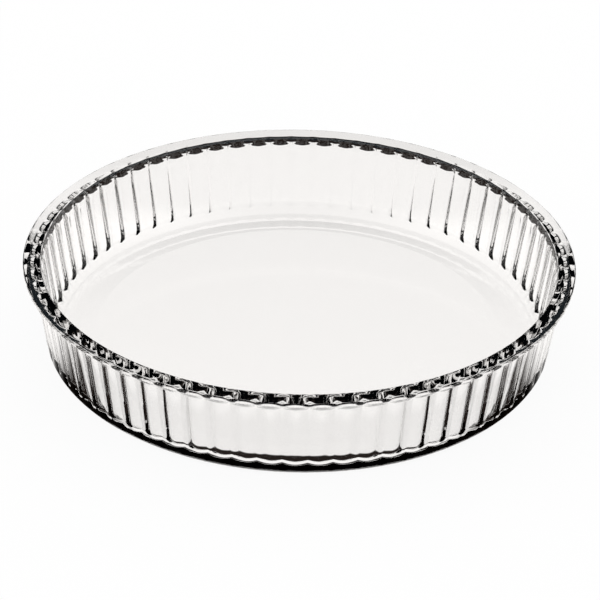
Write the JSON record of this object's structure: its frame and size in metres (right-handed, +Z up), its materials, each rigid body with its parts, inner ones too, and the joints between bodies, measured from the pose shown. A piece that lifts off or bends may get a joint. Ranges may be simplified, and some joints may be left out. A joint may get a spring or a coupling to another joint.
{
  "type": "pie dish",
  "caption": "Round shallow pie or flan dish of clear pressed glass with fluted upright walls, a flat rim and a flat floor on a low foot ring, for baking and serving.",
  "frame": {"origin": "centre of the circle that the dish stands on, at table height", "axes": "+Z up along the axis of the dish; the crest of one flute lies on +X, and the dish has no front or back"},
  "size_m": [0.28, 0.28, 0.048],
  "materials": {
    "clear_glass": "clear, pressed and fire polished"
  },
  "bodies": {
    "root": {"dish": "clear_glass"}
  },
  "joints": []
}
